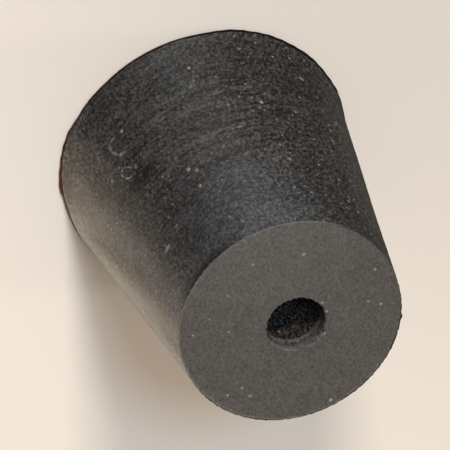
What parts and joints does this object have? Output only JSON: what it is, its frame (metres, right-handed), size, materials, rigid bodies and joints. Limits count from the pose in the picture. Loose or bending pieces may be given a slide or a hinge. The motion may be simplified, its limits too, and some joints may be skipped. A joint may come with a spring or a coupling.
{
  "type": "rubber stopper",
  "caption": "Tapered round rubber plug with flat ends and one round hole along its length, for closing a flask or tube neck around a glass tube.",
  "frame": {"origin": "middle of the wide face, on the axis of the tapered side", "axes": "+Z along the plug from the wide end to the small end; +X towards the side to which the hole's axis is shifted"},
  "size_m": [0.024, 0.024, 0.0254],
  "materials": {
    "rubber": "matte, finely ground side, pressed end faces"
  },
  "bodies": {
    "root": {"stopper": "rubber"}
  },
  "joints": []
}
